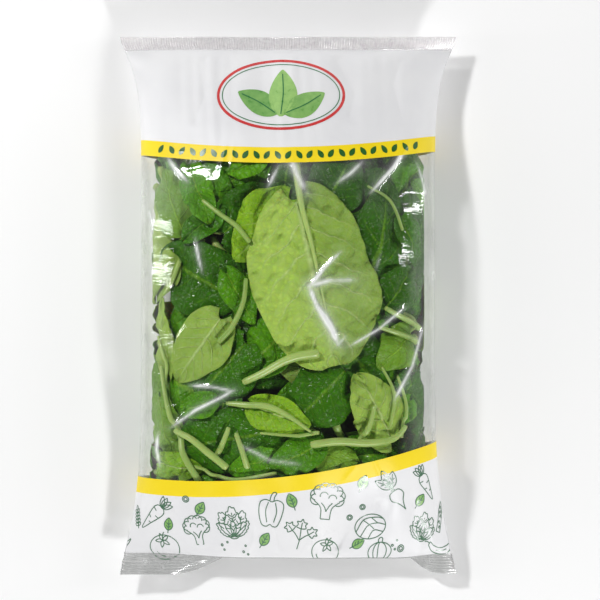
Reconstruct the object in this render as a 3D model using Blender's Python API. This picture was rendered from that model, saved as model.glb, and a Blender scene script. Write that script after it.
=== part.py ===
"""Bag of spinach: a shut pillow bag of clear film, packed with leaves, lying on its back.

Metres, +Z up. The bag's length runs along Y with its top seal at +Y, and its width along X.
It rests on its flattened underside at z = 0, and the origin is the middle of the box's base.

The bag is one closed solid. A flat slab of two sheets, as the film is before filling, is blown
up: both sheets keep their place at the two end seals and bulge apart between them.
"""
import math

import bmesh
import bpy
import numpy as np

NAME = "bag_of_spinach"
NODE = "spinach_bag"

# driving dimensions
LENGTH = 0.362            # from seal edge to seal edge
FLAT_WIDTH = 0.2262       # of the film tube pressed flat, which both end seals keep
FILLED_WIDTH = 0.1970     # across the filled middle
THICKNESS = 0.074         # of the filled middle, from the table up
TOP_SEAL = 0.009          # depth of the crimped strip at the top
BOTTOM_SEAL = 0.015       # depth of the crimped strip at the bottom
SEAL_THICKNESS = 0.0010

# how the tube swells between the seals
TOP_RAMP = 0.115          # from the top seal to the full thickness
BOTTOM_RAMP = 0.100       # from the bottom seal to the full thickness
RAMP_POWER = 0.75         # under 1 swells quickly at the seal
TOP_FLARE = 0.026         # how far the top seal's spread reaches down the sides
BOTTOM_FLARE = 0.044      # how far the bottom seal's spread reaches up the sides
FLARE_POWER = 1.4
EDGE_LEVEL = 0.37         # height of the side edges, as a share of the thickness
UNDERSIDE_BULGE = 0.56    # how far the lower sheet would hang below the edges on no table
ROUNDNESS = 0.72          # under 1 fills the section out beyond an ellipse
TOP_SEAL_HEIGHT = 0.020
BOTTOM_SEAL_HEIGHT = 0.018

# the bottom seal curls under between its corners
CURL = math.radians(98.0)
CURL_LEFT = (-0.090, -0.025)    # from flat to fully curled
CURL_RIGHT = (0.072, 0.104)     # from fully curled to nearly flat
CURL_PULL = 0.004               # how far the curled fold is drawn outwards

# folds and lumps
PUCKER_DEPTH = 0.0016
PUCKER_REACH = 0.020
PUCKER_PITCH = 0.027
LUMP_HEIGHT = 0.0015
LUMP_SPAN = 0.058
SIDE_DENT = 0.0012
SIDE_PITCH = 0.128
SEAL_WAVE = 0.0014
SEAL_WAVE_PITCH = 0.075

# mesh
COLUMNS = 32              # across the width of each sheet
ROWS = 50                 # along the length
SEAL_ROWS = 2             # of those, in each seal strip

GREEN = (0.20, 0.33, 0.09, 1.0)


def smooth_step(value, start, end):
    """0 before start, 1 past end, with a soft S between."""
    t = np.clip((value - start) / (end - start), 0.0, 1.0)
    return t * t * (3.0 - 2.0 * t)


def ramp(distance, reach):
    """How full the bag is at a distance from a seal: 0 at the seal, 1 at the reach."""
    return np.sin(0.5 * math.pi * np.clip(distance / reach, 0.0, 1.0)) ** RAMP_POWER


def half_width(y):
    """Half the bag's width: the filled width, spread towards the flat width at both seals."""
    flare = 0.5 * (FLAT_WIDTH - FILLED_WIDTH)
    top = np.exp(-(np.clip(0.5 * LENGTH - y, 0.0, None) / TOP_FLARE) ** FLARE_POWER)
    bottom = np.exp(-(np.clip(0.5 * LENGTH + y, 0.0, None) / BOTTOM_FLARE) ** FLARE_POWER)
    return 0.5 * FILLED_WIDTH + flare * (top + bottom)


def fullness(y):
    """0 in both seals and 1 in the middle of the bag."""
    from_top = 0.5 * LENGTH - TOP_SEAL - y
    from_bottom = 0.5 * LENGTH - BOTTOM_SEAL + y
    return ramp(from_top, TOP_RAMP) * ramp(from_bottom, BOTTOM_RAMP)


def puckers(x, y):
    """Short folds that run out of each seal: none in the seal, deepest a reach away."""
    total = np.zeros_like(x)
    for distance, phase in ((0.5 * LENGTH - TOP_SEAL - y, 0.4), (0.5 * LENGTH - BOTTOM_SEAL + y, 2.1)):
        share = np.clip(distance, 0.0, None) / PUCKER_REACH
        wave = np.cos(2.0 * math.pi * x / PUCKER_PITCH + phase)
        wave += 0.5 * np.cos(2.0 * math.pi * x / (1.7 * PUCKER_PITCH) - phase)
        total += PUCKER_DEPTH * share * np.exp(1.0 - share) * wave / 1.5
    return total


def lumps(x, y):
    """The packed leaves' uneven push on the film: two crossed waves, one nearly square to the other."""
    first = np.sin(2.0 * math.pi * (x + 0.6 * y) / LUMP_SPAN + 0.8)
    second = np.sin(2.0 * math.pi * (y - 0.5 * x) / (1.3 * LUMP_SPAN))
    return LUMP_HEIGHT * first * second


def side_dents(y, side):
    """Uneven bulges along the side edges: two waves out of step, different left and right."""
    long_wave = np.sin(2.0 * math.pi * y / SIDE_PITCH + 1.3 * side)
    short_wave = np.sin(2.0 * math.pi * y / (0.37 * SIDE_PITCH) - 0.9 * side)
    return SIDE_DENT * (0.7 * long_wave + 0.3 * short_wave)


def curl_angle(x):
    """How far the bottom seal is turned under at x: flat at the left, a little at the far right."""
    left = smooth_step(x, *CURL_LEFT)
    right = smooth_step(x, *CURL_RIGHT)
    return CURL * left * (1.0 - 0.8 * right)


def blown_up(across, along, upper):
    """Moves points of the flat slab into the filled bag.

    across and along run from -1 to 1, and upper tells the sheet. A section is a lens: x goes as
    the sine of an angle and height as a power of its cosine, above the side edges on the upper
    sheet and below them on the lower one, which the table cuts off flat.
    """
    seal_share = 2.0 * SEAL_ROWS / ROWS
    y = np.interp(
        along,
        [-1.0, -1.0 + seal_share, 1.0 - seal_share, 1.0],
        [-0.5 * LENGTH, -0.5 * LENGTH + BOTTOM_SEAL, 0.5 * LENGTH - TOP_SEAL, 0.5 * LENGTH],
    )
    angle = 0.5 * math.pi * across
    full = fullness(y)
    x = (half_width(y) + side_dents(y, np.sign(across)) * full) * np.sin(angle)

    seal_height = np.where(y > 0.0, TOP_SEAL_HEIGHT, BOTTOM_SEAL_HEIGHT)
    edge = seal_height + (EDGE_LEVEL * THICKNESS - seal_height) * full
    edge += SEAL_WAVE * (1.0 - full) * np.sin(2.0 * math.pi * x / SEAL_WAVE_PITCH)
    arch = np.cos(angle).clip(0.0, 1.0) ** ROUNDNESS
    rise = (1.0 - EDGE_LEVEL) * THICKNESS * full * arch
    rise += puckers(x, y) * arch + lumps(x, y) * full * arch
    drop = UNDERSIDE_BULGE * THICKNESS * full * arch + 0.5 * puckers(x, y) * arch
    z = np.where(upper, edge + rise, edge - drop)

    # the bottom seal turns about its inner edge, and the fold itself is drawn out a little
    inner = -0.5 * LENGTH + BOTTOM_SEAL
    past = np.clip(inner - y, 0.0, None)
    turn = curl_angle(x)
    near = np.exp(-np.abs(y - inner) / BOTTOM_SEAL)
    y = np.maximum(y, inner) - past * np.cos(turn) - CURL_PULL * near * turn / CURL
    z = z - past * np.sin(turn)

    # half the seal's thickness to each side, square to the strip
    side = np.where(upper, 0.5, -0.5) * SEAL_THICKNESS
    strip = past > 0.0
    y = y - np.where(strip, side * np.sin(turn), 0.0)
    z = np.maximum(z + np.where(strip, side * np.cos(turn), side), 0.0)
    return np.stack([x, y, z], axis=1)


def bag_mesh():
    """A grid given a second sheet and a rim, then blown up and set on its base."""
    bm = bmesh.new()
    bmesh.ops.create_grid(bm, x_segments=COLUMNS, y_segments=ROWS, size=1.0)
    bmesh.ops.solidify(bm, geom=bm.faces[:], thickness=0.1)
    bmesh.ops.recalc_face_normals(bm, faces=bm.faces[:])
    mesh = bpy.data.meshes.new(NODE)
    bm.to_mesh(mesh)
    bm.free()

    flat = np.empty(3 * len(mesh.vertices))
    mesh.vertices.foreach_get("co", flat)
    flat = flat.reshape(-1, 3)
    upper = flat[:, 2] > flat[:, 2].mean()
    points = blown_up(flat[:, 0], flat[:, 1], upper)
    low, high = points.min(axis=0), points.max(axis=0)
    points -= [0.5 * (low[0] + high[0]), 0.5 * (low[1] + high[1]), low[2]]
    mesh.vertices.foreach_set("co", points.ravel())
    mesh.update()
    mesh.shade_smooth()
    mesh.set_sharp_from_angle(angle=math.radians(50.0))
    return mesh


def film_over_leaves():
    """Glossy clear film with the leaves' green showing through it."""
    material = bpy.data.materials.new("film_over_leaves")
    material.use_nodes = True
    shader = material.node_tree.nodes["Principled BSDF"]
    shader.inputs["Base Color"].default_value = GREEN
    shader.inputs["Roughness"].default_value = 0.2
    shader.inputs["Metallic"].default_value = 0.0
    return material


def build():
    for old in list(bpy.data.objects):
        bpy.data.objects.remove(old)
    parts = bpy.data.collections.new(NAME)
    bpy.context.scene.collection.children.link(parts)
    bag = bpy.data.objects.new(NODE, bag_mesh())
    bag.data.materials.append(film_over_leaves())
    parts.objects.link(bag)


build()
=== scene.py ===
"""Bag of spinach: clear film packed with leaves and stems, a printed header and foot, lying on its back.

Metres, +Z up, the top seal at +Y. Places on the bag are given either as x and y seen from above, or
as (g, t): g is the distance round the film's girth from the front's centre line, and t runs along it.
"""
import math

import bpy
import numpy as np
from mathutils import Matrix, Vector


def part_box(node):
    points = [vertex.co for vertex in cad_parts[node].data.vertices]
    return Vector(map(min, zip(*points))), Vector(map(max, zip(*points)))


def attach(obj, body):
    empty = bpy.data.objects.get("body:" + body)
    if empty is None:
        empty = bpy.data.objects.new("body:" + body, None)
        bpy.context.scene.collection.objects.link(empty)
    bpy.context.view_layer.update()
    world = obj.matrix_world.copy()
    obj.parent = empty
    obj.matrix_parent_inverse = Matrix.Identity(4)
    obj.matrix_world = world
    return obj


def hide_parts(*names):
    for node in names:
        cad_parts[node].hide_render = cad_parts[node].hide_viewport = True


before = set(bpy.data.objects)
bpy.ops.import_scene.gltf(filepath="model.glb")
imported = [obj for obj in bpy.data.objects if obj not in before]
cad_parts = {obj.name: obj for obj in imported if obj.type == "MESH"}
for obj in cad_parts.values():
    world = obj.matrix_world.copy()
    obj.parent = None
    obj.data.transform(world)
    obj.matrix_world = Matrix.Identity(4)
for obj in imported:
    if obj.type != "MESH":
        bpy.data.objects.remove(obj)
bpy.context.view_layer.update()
LOW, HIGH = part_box("spinach_bag")

MM = 0.001

# ---------------------------------------------------------------- sizes of the bag, from the frame
HALF_LENGTH = 0.5 * (HIGH.y - LOW.y)
QUARTER = 0.5 * (HIGH.x - LOW.x)        # a quarter of the film's girth, half its flat width
FILLED_HALF = 0.871 * QUARTER           # half the width across the filled middle
THICKNESS = 0.965 * HIGH.z
TOP_SEAL = 9.0 * MM
BOTTOM_SEAL = 15.0 * MM
TOP_RAMP = 0.635 * HALF_LENGTH          # from the top seal to the full thickness
BOTTOM_RAMP = 0.552 * HALF_LENGTH
RAMP_POWER = 0.75
TOP_FLARE = 26.0 * MM
BOTTOM_FLARE = 44.0 * MM
EDGE_LEVEL = 0.37                       # height of the side edges, as a share of the thickness
UNDERSIDE_BULGE = 0.56
ROUNDNESS = 0.72                        # under 1 fills the section out beyond an ellipse
TOP_SEAL_HEIGHT = 20.0 * MM
BOTTOM_SEAL_HEIGHT = 18.0 * MM
INNER_TOP = HALF_LENGTH - TOP_SEAL
INNER_BOTTOM = -HALF_LENGTH + BOTTOM_SEAL
LEAST_HEIGHT = 0.4 * MM                 # the film's underside, just clear of the table

CURL = math.radians(98.0)               # how far the bottom seal turns under
CURL_LEFT = (-90.0 * MM, -25.0 * MM)
CURL_RIGHT = (72.0 * MM, 104.0 * MM)
CURL_PULL = 4.0 * MM

# the print, measured along the film: the upper stripe and the lower stripe
UPPER_STRIPE = (94.2 * MM, 104.6 * MM)
LOWER_STRIPE = (-5.4 * MM, 5.4 * MM)
LOWER_STRIPE_AT = -117.5 * MM

# leaves fill the bag between these, seen from above
HEAP_TOP = 112.0 * MM
HEAP_BOTTOM = -128.0 * MM
HEAP_SIDE_GAP = 6.5 * MM                # empty film beside the leaves


def linear(red, green, blue):
    """A paint colour given as screen values from 0 to 255, turned to linear light."""
    shares = np.array([red, green, blue]) / 255.0
    low = shares / 12.92
    high = ((shares + 0.055) / 1.055) ** 2.4
    return (*np.where(shares <= 0.04045, low, high).tolist(), 1.0)


WHITE_PRINT = linear(224, 224, 226)
YELLOW_PRINT = linear(240, 212, 14)
GREEN_INK = linear(62, 104, 76)
DEEP_INK = linear(28, 104, 58)


# ---------------------------------------------------------------- the bag's form
def smooth_step(value, start, end):
    """0 before start, 1 past end, with a soft S between."""
    share = np.clip((value - start) / (end - start), 0.0, 1.0)
    return share * share * (3.0 - 2.0 * share)


def unit_section(steps=1441):
    """The filled section on unit axes, by arc length: x is the sine of an angle, the rise a power
    of its cosine. Returns the arc's share from side to side, and x and rise there."""
    angle = np.linspace(-0.5 * math.pi, 0.5 * math.pi, steps)
    x = np.sin(angle)
    rise = np.cos(angle).clip(0.0, 1.0) ** ROUNDNESS
    height = (1.0 - EDGE_LEVEL) * THICKNESS / FILLED_HALF
    length = np.hypot(np.diff(x), height * np.diff(rise))
    share = np.concatenate([[0.0], np.cumsum(length)])
    return 2.0 * share / share[-1] - 1.0, x, rise


ARC, ARC_X, ARC_RISE = unit_section()


def fullness(t):
    """0 at both seals and 1 in the middle of the bag."""
    top = np.clip((INNER_TOP - t) / TOP_RAMP, 0.0, 1.0)
    bottom = np.clip((t - INNER_BOTTOM) / BOTTOM_RAMP, 0.0, 1.0)
    return (np.sin(0.5 * math.pi * top) * np.sin(0.5 * math.pi * bottom)) ** RAMP_POWER


def half_width(t):
    """Half the bag's width: the filled width, spread to the flat width at both seals."""
    top = np.exp(-(np.clip(HALF_LENGTH - t, 0.0, None) / TOP_FLARE) ** 1.4)
    bottom = np.exp(-(np.clip(HALF_LENGTH + t, 0.0, None) / BOTTOM_FLARE) ** 1.4)
    return FILLED_HALF + (QUARTER - FILLED_HALF) * (top + bottom)


def puckers(x, t):
    """Short folds that run out of each seal: none in the seal, deepest 20 mm away from it."""
    total = 0.0
    for gap, phase in ((INNER_TOP - t, 0.4), (t - INNER_BOTTOM, 2.1)):
        share = np.clip(gap, 0.0, None) / (20.0 * MM)
        wave = np.cos(2.0 * math.pi * x / (27.0 * MM) + phase)
        wave += 0.5 * np.cos(2.0 * math.pi * x / (46.0 * MM) - phase)
        total = total + 1.1 * MM * share * np.exp(1.0 - share) * wave / 1.5
    return total


def lumps(x, t):
    """The leaves' uneven push on the film: two crossed waves."""
    first = np.sin(2.0 * math.pi * (x + 0.6 * t) / (58.0 * MM) + 0.8)
    return 0.7 * MM * first * np.sin(2.0 * math.pi * (t - 0.5 * x) / (75.0 * MM))


def curl_angle(x):
    """How far the bottom seal is turned under at x: flat at the left, a little at the right."""
    right = smooth_step(x, *CURL_RIGHT)
    return CURL * smooth_step(x, *CURL_LEFT) * (1.0 - 0.8 * right)


def bag_point(g, t, side_gap=0.0, creases=None):
    """Points of the bag's form at girth distance g and length t.

    Front and back share the side edges. Each is the unit section stretched to the bag's width
    and thickness at t, above the edges on the front and below them on the back, which the table
    cuts off flat. side_gap draws the sides in, and creases is a function that adds folds.
    """
    g = (np.asarray(g, float) + QUARTER) % (4.0 * QUARTER) - QUARTER
    t = np.asarray(t, float)
    front = g <= QUARTER
    share = np.where(front, g / QUARTER, 2.0 - g / QUARTER)
    full = fullness(t)
    x_full = np.interp(share, ARC, ARC_X)
    x = (half_width(t) - side_gap) * (share + (x_full - share) * full)
    arch = np.interp(share, ARC, ARC_RISE)

    seal_height = np.where(t > 0.0, TOP_SEAL_HEIGHT, BOTTOM_SEAL_HEIGHT)
    edge = seal_height + (EDGE_LEVEL * THICKNESS - seal_height) * full
    edge = edge + 1.4 * MM * (1.0 - full) * np.sin(2.0 * math.pi * x / (75.0 * MM))
    rise = (1.0 - EDGE_LEVEL) * THICKNESS * full * arch
    rise = rise + puckers(x, t) * arch + lumps(x, t) * full * arch
    if creases is not None:
        rise = rise + creases(x, t) * arch
    drop = UNDERSIDE_BULGE * THICKNESS * full * arch + 0.5 * puckers(x, t) * arch
    z = np.where(front, edge + rise, edge - drop)

    turn = curl_angle(x)
    near = np.exp(-np.abs(t - INNER_BOTTOM) / BOTTOM_SEAL)
    past = np.clip(INNER_BOTTOM - t, 0.0, None)
    y = np.maximum(t, INNER_BOTTOM) - past * np.cos(turn) - CURL_PULL * near * turn / CURL
    z = z - past * np.sin(turn)
    return np.stack([x + 0.0 * y, y, np.maximum(z, LEAST_HEIGHT)], axis=-1)


def bag_normal(g, t, side_gap=0.0, creases=None, step=1.0 * MM):
    """Outward directions of the form, from points a small step to each side."""
    around = bag_point(g + step, t, side_gap, creases) - bag_point(g - step, t, side_gap, creases)
    along = bag_point(g, t + step, side_gap, creases) - bag_point(g, t - step, side_gap, creases)
    normal = np.cross(around, along)
    return normal / np.maximum(np.linalg.norm(normal, axis=-1, keepdims=True), 1e-12)


def girth_at(x):
    """The girth distance of a point of the front, given its x seen from above."""
    return np.interp(np.asarray(x) / FILLED_HALF, ARC_X, ARC) * QUARTER


# ---------------------------------------------------------------- folds of the film
# Sharp folds: the points along each, in mm from above, its height and its half width in mm
SHARP_FOLDS = (
    (((-80, 99), (-74, 90), (-66, 82)), 1.6, 2.0),
    (((-61, 45), (-59, 33), (-56, 21)), 1.0, 1.3),
    (((2, 97), (6, 86), (12, 75)), 1.5, 3.2),
    (((-6, 92), (-13, 78)), 1.2, 1.6),
    (((49, 95), (41, 87), (31, 80)), 1.3, 1.8),
    (((82, 111), (70, 92), (54, 74)), 1.7, 1.6),
    (((85, 96), (89, 84), (92, 71)), 1.1, 1.3),
    (((14, 13), (24, 25), (35, 36)), 1.7, 1.5),
    (((14, 13), (28, 17), (45, 17)), 1.1, 2.4),
    (((14, 13), (19, 0), (28, -13), (33, -25)), 1.9, 1.9),
    (((21, -2), (27, -12), (33, -24)), 1.0, 3.6),
    (((33, -25), (38, -20)), 1.4, 1.2),
    (((61, 34), (58, 24)), 0.9, 1.1),
    (((41, -26), (60, -15), (77, -1)), 1.2, 1.3),
    (((-77, -80), (-60, -68), (-44, -60), (-35, -55)), 1.4, 1.5),
    (((-65, -52), (-50, -53), (-35, -56)), 1.1, 1.3),
    (((-86, -84), (-87, -95), (-85, -106)), 1.4, 1.8),
    (((-93, 66), (-90, 54), (-91, 40)), 0.7, 1.2),
    (((70, -62), (82, -40), (90, -12)), 1.1, 1.5),
    (((-30, -92), (-12, -101), (8, -104)), 0.8, 1.5),
)
# Folds that run up the foot from the seal, the same way
FOOT_FOLDS = (
    (((-98, -168), (-88, -158), (-70, -153)), 2.3, 2.6),
    (((-72, -169), (-58, -160), (-38, -158)), 2.5, 2.8),
    (((-32, -170), (-24, -158), (-22, -144)), 2.0, 2.8),
    (((4, -170), (12, -158), (28, -150)), 2.3, 3.0),
    (((38, -170), (48, -156), (52, -138)), 2.2, 3.2),
    (((82, -169), (74, -159), (60, -154)), 2.3, 2.6),
    (((98, -166), (96, -150), (100, -128)), 1.8, 2.8),
)
# Soft valleys of the foot and the header, the same way, sunk and not raised
SOFT_VALLEYS = (
    (((-14, -128), (-10, -145), (-4, -168)), -3.8, 6.0),
    (((62, -132), (46, -142), (30, -164)), -4.0, 6.5),
    (((-70, -136), (-62, -152), (-60, -166)), -2.4, 6.0),
    (((86, -124), (84, -146), (92, -166)), -2.6, 6.0),
    (((-60, 168), (-56, 140), (-62, 118)), -1.6, 5.0),
    (((30, 170), (44, 142), (40, 120)), -1.6, 6.0),
    (((78, 170), (70, 148), (78, 118)), -1.8, 5.0),
)
STRAY_FOLDS = 70          # faint short folds all over


def ridge(x, t, points, height, width):
    """A fold along a line of points: height times a sharp bell of the distance over the width,
    fading out past both ends of the line."""
    points = np.array(points) * MM
    nearest = np.full(np.shape(x + t), 1.0)
    for (x0, y0), (x1, y1) in zip(points[:-1], points[1:]):
        dx, dy = x1 - x0, y1 - y0
        share = np.clip(((x - x0) * dx + (t - y0) * dy) / (dx * dx + dy * dy), 0.0, 1.0)
        nearest = np.minimum(nearest, np.hypot(x - x0 - share * dx, t - y0 - share * dy))
    start = np.hypot(x - points[0, 0], t - points[0, 1])
    end = np.hypot(x - points[-1, 0], t - points[-1, 1])
    fade = smooth_step(np.minimum(start, end), 0.0, 7.0 * MM)
    bell = np.exp(-(nearest / (width * MM)) ** 1.3)
    return height * MM * bell * (0.25 + 0.75 * fade)


def stray_folds(rng):
    """Short faint folds at random places and turns, given like SHARP_FOLDS."""
    folds = []
    for _ in range(STRAY_FOLDS):
        x, y = rng.uniform(-94, 94), rng.uniform(-112, 108)
        turn, reach = rng.uniform(0, math.pi), rng.uniform(4, 15)
        bend = rng.normal(0, 0.25) * reach
        dx, dy = math.cos(turn) * reach, math.sin(turn) * reach
        middle = (x - bend * math.sin(turn), y + bend * math.cos(turn))
        points = ((x - dx, y - dy), middle, (x + dx, y + dy))
        folds.append((points, rng.uniform(0.25, 0.7), rng.uniform(0.9, 1.8)))
    return folds


ALL_FOLDS = SHARP_FOLDS + FOOT_FOLDS + SOFT_VALLEYS + tuple(stray_folds(np.random.default_rng(7)))


def film_creases(x, t):
    """Every fold of the front film, added up. None stands in the seals."""
    total = np.zeros(np.shape(x + t))
    for points, height, width in ALL_FOLDS:
        total += ridge(x, t, points, height, width)
    wrinkles = 0.28 * MM * np.sin(2.0 * math.pi * (x + 0.05 * t) / (9.0 * MM))
    wrinkles *= 0.5 + 0.5 * np.sin(2.0 * math.pi * x / (61.0 * MM) + 1.0)
    header = smooth_step(t, UPPER_STRIPE[0], UPPER_STRIPE[1] + 20.0 * MM)
    clear_of_seals = smooth_step(INNER_TOP - t, 0.0, 8.0 * MM)
    clear_of_seals = clear_of_seals * smooth_step(t - INNER_BOTTOM, 0.0, 8.0 * MM)
    return (total + wrinkles * header) * clear_of_seals


def print_height(x, t):
    """How far along the print a point lies: t, less the bow of the upper stripe and the slant of
    the lower one, so that both stripes are straight and level in it."""
    bow = 0.8 * (x + 8.0 * MM) ** 2
    slant = LOWER_STRIPE_AT + 0.12 * x + 1.0 * x ** 2
    upper = smooth_step(t, -60.0 * MM, 60.0 * MM)
    return t - upper * bow - (1.0 - upper) * slant


# ---------------------------------------------------------------- meshes
class Heap:
    """Gathers many small shapes into one mesh, with a map and two values at every point."""

    def __init__(self):
        self.points, self.faces, self.maps, self.tones, self.unders = [], [], [], [], []
        self.count = 0

    def add(self, points, faces, maps=None, tone=0.5, under=0.0):
        points = np.asarray(points, float).reshape(-1, 3)
        size = len(points)
        self.points.append(points)
        self.faces.append(np.asarray(faces) + self.count)
        self.maps.append(np.zeros((size, 2)) if maps is None else np.asarray(maps).reshape(-1, 2))
        self.tones.append(np.broadcast_to(tone, size))
        self.unders.append(np.broadcast_to(under, size))
        self.count += size

    def mesh(self, name):
        points = np.concatenate(self.points)
        faces = np.concatenate(self.faces)
        corners = np.where(faces[:, 3] == faces[:, 2], 3, 4)
        keep = np.arange(4)[None, :] < corners[:, None]
        loops = faces[keep].astype(np.int32)
        mesh = bpy.data.meshes.new(name)
        mesh.vertices.add(len(points))
        mesh.vertices.foreach_set("co", points.astype(np.float32).ravel())
        mesh.loops.add(len(loops))
        mesh.loops.foreach_set("vertex_index", loops)
        mesh.polygons.add(len(faces))
        starts = np.concatenate([[0], np.cumsum(corners)[:-1]]).astype(np.int32)
        mesh.polygons.foreach_set("loop_start", starts)
        mesh.polygons.foreach_set("use_smooth", np.ones(len(faces), bool))
        mesh.update(calc_edges=True)
        map_layer = mesh.uv_layers.new(name="shape")
        map_layer.data.foreach_set("uv", np.concatenate(self.maps)[loops].astype(np.float32).ravel())
        for key, values in (("tone", self.tones), ("under", self.unders)):
            layer = mesh.attributes.new(key, "FLOAT", "POINT")
            layer.data.foreach_set("value", np.concatenate(values).astype(np.float32))
        mesh.validate()
        return mesh

    def piece(self, name, material):
        """The gathered shapes as one object that rides on the bag and stands for its solid."""
        thing = bpy.data.objects.new(name, self.mesh(name))
        bpy.context.scene.collection.objects.link(thing)
        thing.data.materials.append(material)
        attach(thing, "root")
        return thing


def grid_faces(rows, columns, around=False):
    """Quads of a grid of points numbered row by row; around joins the last column to the first."""
    row = np.arange(rows - 1)[:, None]
    column = np.arange(columns if around else columns - 1)[None, :]
    following = (column + 1) % columns
    first = row * columns + column
    second = row * columns + following
    return np.stack([first, second, second + columns, first + columns], -1).reshape(-1, 4)


def rim_of(rows, columns):
    """The border points of a grid, in order round it, against the clock seen from outside."""
    bottom = np.arange(columns)
    right = np.arange(1, rows) * columns + columns - 1
    top = (rows - 1) * columns + np.arange(columns - 2, -1, -1)
    left = np.arange(rows - 2, 0, -1) * columns
    return np.concatenate([bottom, right, top, left])


def shell_faces(rows, columns):
    """A closed shell of two like grids: the outer one, the inner one turned round, and a rim."""
    outer = grid_faces(rows, columns)
    inner = outer[:, ::-1] + rows * columns
    rim = rim_of(rows, columns)
    after = np.roll(rim, -1)
    offset = rows * columns
    edge = np.stack([rim, rim + offset, after + offset, after], -1)
    return np.concatenate([outer, inner, edge])


def spline(points, count):
    """A smooth curve through a few points: Catmull-Rom, sampled count times."""
    points = np.asarray(points, float)
    padded = np.vstack([2 * points[0] - points[1], points, 2 * points[-1] - points[-2]])
    place = np.linspace(0.0, len(points) - 1.0, count)
    index = np.minimum(place.astype(int), len(points) - 2)
    share = (place - index)[:, None]
    a, b, c, d = (padded[index + k] for k in range(4))
    return 0.5 * (2 * b + (c - a) * share + (2 * a - 5 * b + 4 * c - d) * share ** 2
                  + (3 * b - a - 3 * c + d) * share ** 3)


def tube(heap, centres, radii, normals, tone=0.5, sides=9, grooves=0.0):
    """A tube along centres: rings of the given radii, cut off with a slight round at both ends.
    Grooves are a share of the radius by which its sides rise and fall."""
    ends = np.array([0.80, 1.0])
    radii = np.asarray(radii) * 1.0
    radii[:2] *= ends
    radii[-2:] *= ends[::-1]
    tangent = np.gradient(centres, axis=0)
    tangent /= np.maximum(np.linalg.norm(tangent, axis=1, keepdims=True), 1e-9)
    side = np.cross(tangent, normals)
    side /= np.maximum(np.linalg.norm(side, axis=1, keepdims=True), 1e-9)
    up = np.cross(side, tangent)
    angle = np.linspace(0.0, 2.0 * math.pi, sides, endpoint=False)[None, :, None]
    ring = np.cos(angle) * side[:, None] + np.sin(angle) * up[:, None]
    ridged = 1.0 + grooves * np.cos(4.0 * angle)
    points = centres[:, None] + ring * ridged * radii[:, None, None]
    rows = len(centres)
    body = grid_faces(rows, sides, around=True)
    low, high = rows * sides, rows * sides + 1
    around = np.arange(sides)
    following = (around + 1) % sides
    last = (rows - 1) * sides
    caps = np.concatenate([
        np.stack([following, around, np.full(sides, low), np.full(sides, low)], -1),
        np.stack([last + around, last + following, np.full(sides, high), np.full(sides, high)], -1),
    ])
    faces = np.concatenate([body, caps])
    along = np.broadcast_to(np.linspace(0, 1, rows)[:, None], (rows, sides))
    across = np.broadcast_to(np.linspace(0, 1, sides)[None, :], (rows, sides))
    maps = np.concatenate([np.stack([across, along], -1).reshape(-1, 2), [[0.5, 0.0], [0.5, 1.0]]])
    points = np.concatenate([points.reshape(-1, 3), centres[:1], centres[-1:]])
    heap.add(points, faces, maps, tone)


# ---------------------------------------------------------------- leaves
VEIN_PAIRS = 6.5          # side veins along a leaf
VEIN_SLANT = 0.62         # how far a side vein climbs to the edge, as a share of the length


class Layers:
    """How deep under the film the leaves laid so far reach, on a 1 mm grid of girth and length, so
    that each new leaf can be slid under them."""

    def __init__(self, least=0.3 * MM):
        self.shape = (int(2.0 * HALF_LENGTH / MM) + 2, int(4.0 * QUARTER / MM) + 2)
        self.depth = np.full(self.shape, least)

    def cells(self, g, t):
        column = (g + QUARTER) / MM % (self.shape[1] - 1.001)
        row = np.clip((t + HALF_LENGTH) / MM, 0.0, self.shape[0] - 1.001)
        return row, column

    def under(self, g, t):
        """The depth just under everything laid so far, widened and eased over a few mm."""
        soft = self.depth
        for axis in (0, 1):
            for step in (-3, -1, 1, 3):
                soft = np.maximum(soft, np.roll(soft, step, axis))
        for _ in range(4):
            for axis in (0, 1):
                soft = (np.roll(soft, 1, axis) + soft + np.roll(soft, -1, axis)) / 3.0
        row, column = self.cells(g, t)
        i, j = row.astype(int), column.astype(int)
        v, u = row - i, column - j
        low = soft[i, j] * (1.0 - u) + soft[i, j + 1] * u
        high = soft[i + 1, j] * (1.0 - u) + soft[i + 1, j + 1] * u
        return low * (1.0 - v) + high * v

    def lay(self, g, t, depth):
        """Marks a grid of points, filled in between them, as reaching down to depth."""
        for axis in (0, 1):
            for _ in range(2):
                g, t, depth = (doubled(values, axis) for values in (g, t, depth))
        row, column = self.cells(g, t)
        np.maximum.at(self.depth, (np.round(row).astype(int), np.round(column).astype(int)), depth)


def doubled(values, axis):
    """A grid with the middles between its neighbours put in along one axis."""
    values = np.moveaxis(values, axis, 0)
    out = np.empty((2 * len(values) - 1, *values.shape[1:]))
    out[::2], out[1::2] = values, 0.5 * (values[1:] + values[:-1])
    return np.moveaxis(out, 0, axis)


def under_print(t):
    """How much deeper leaves keep where the film is printed and dented: nothing in the window."""
    return 5.0 * MM * (smooth_step(-t, 114.0 * MM, 124.0 * MM) + smooth_step(t, 92.0 * MM, 104.0 * MM))


def deepest(t):
    """How far under the film a leaf or stem may lie: just short of the bag's middle."""
    return 0.42 * THICKNESS * fullness(t)


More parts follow.
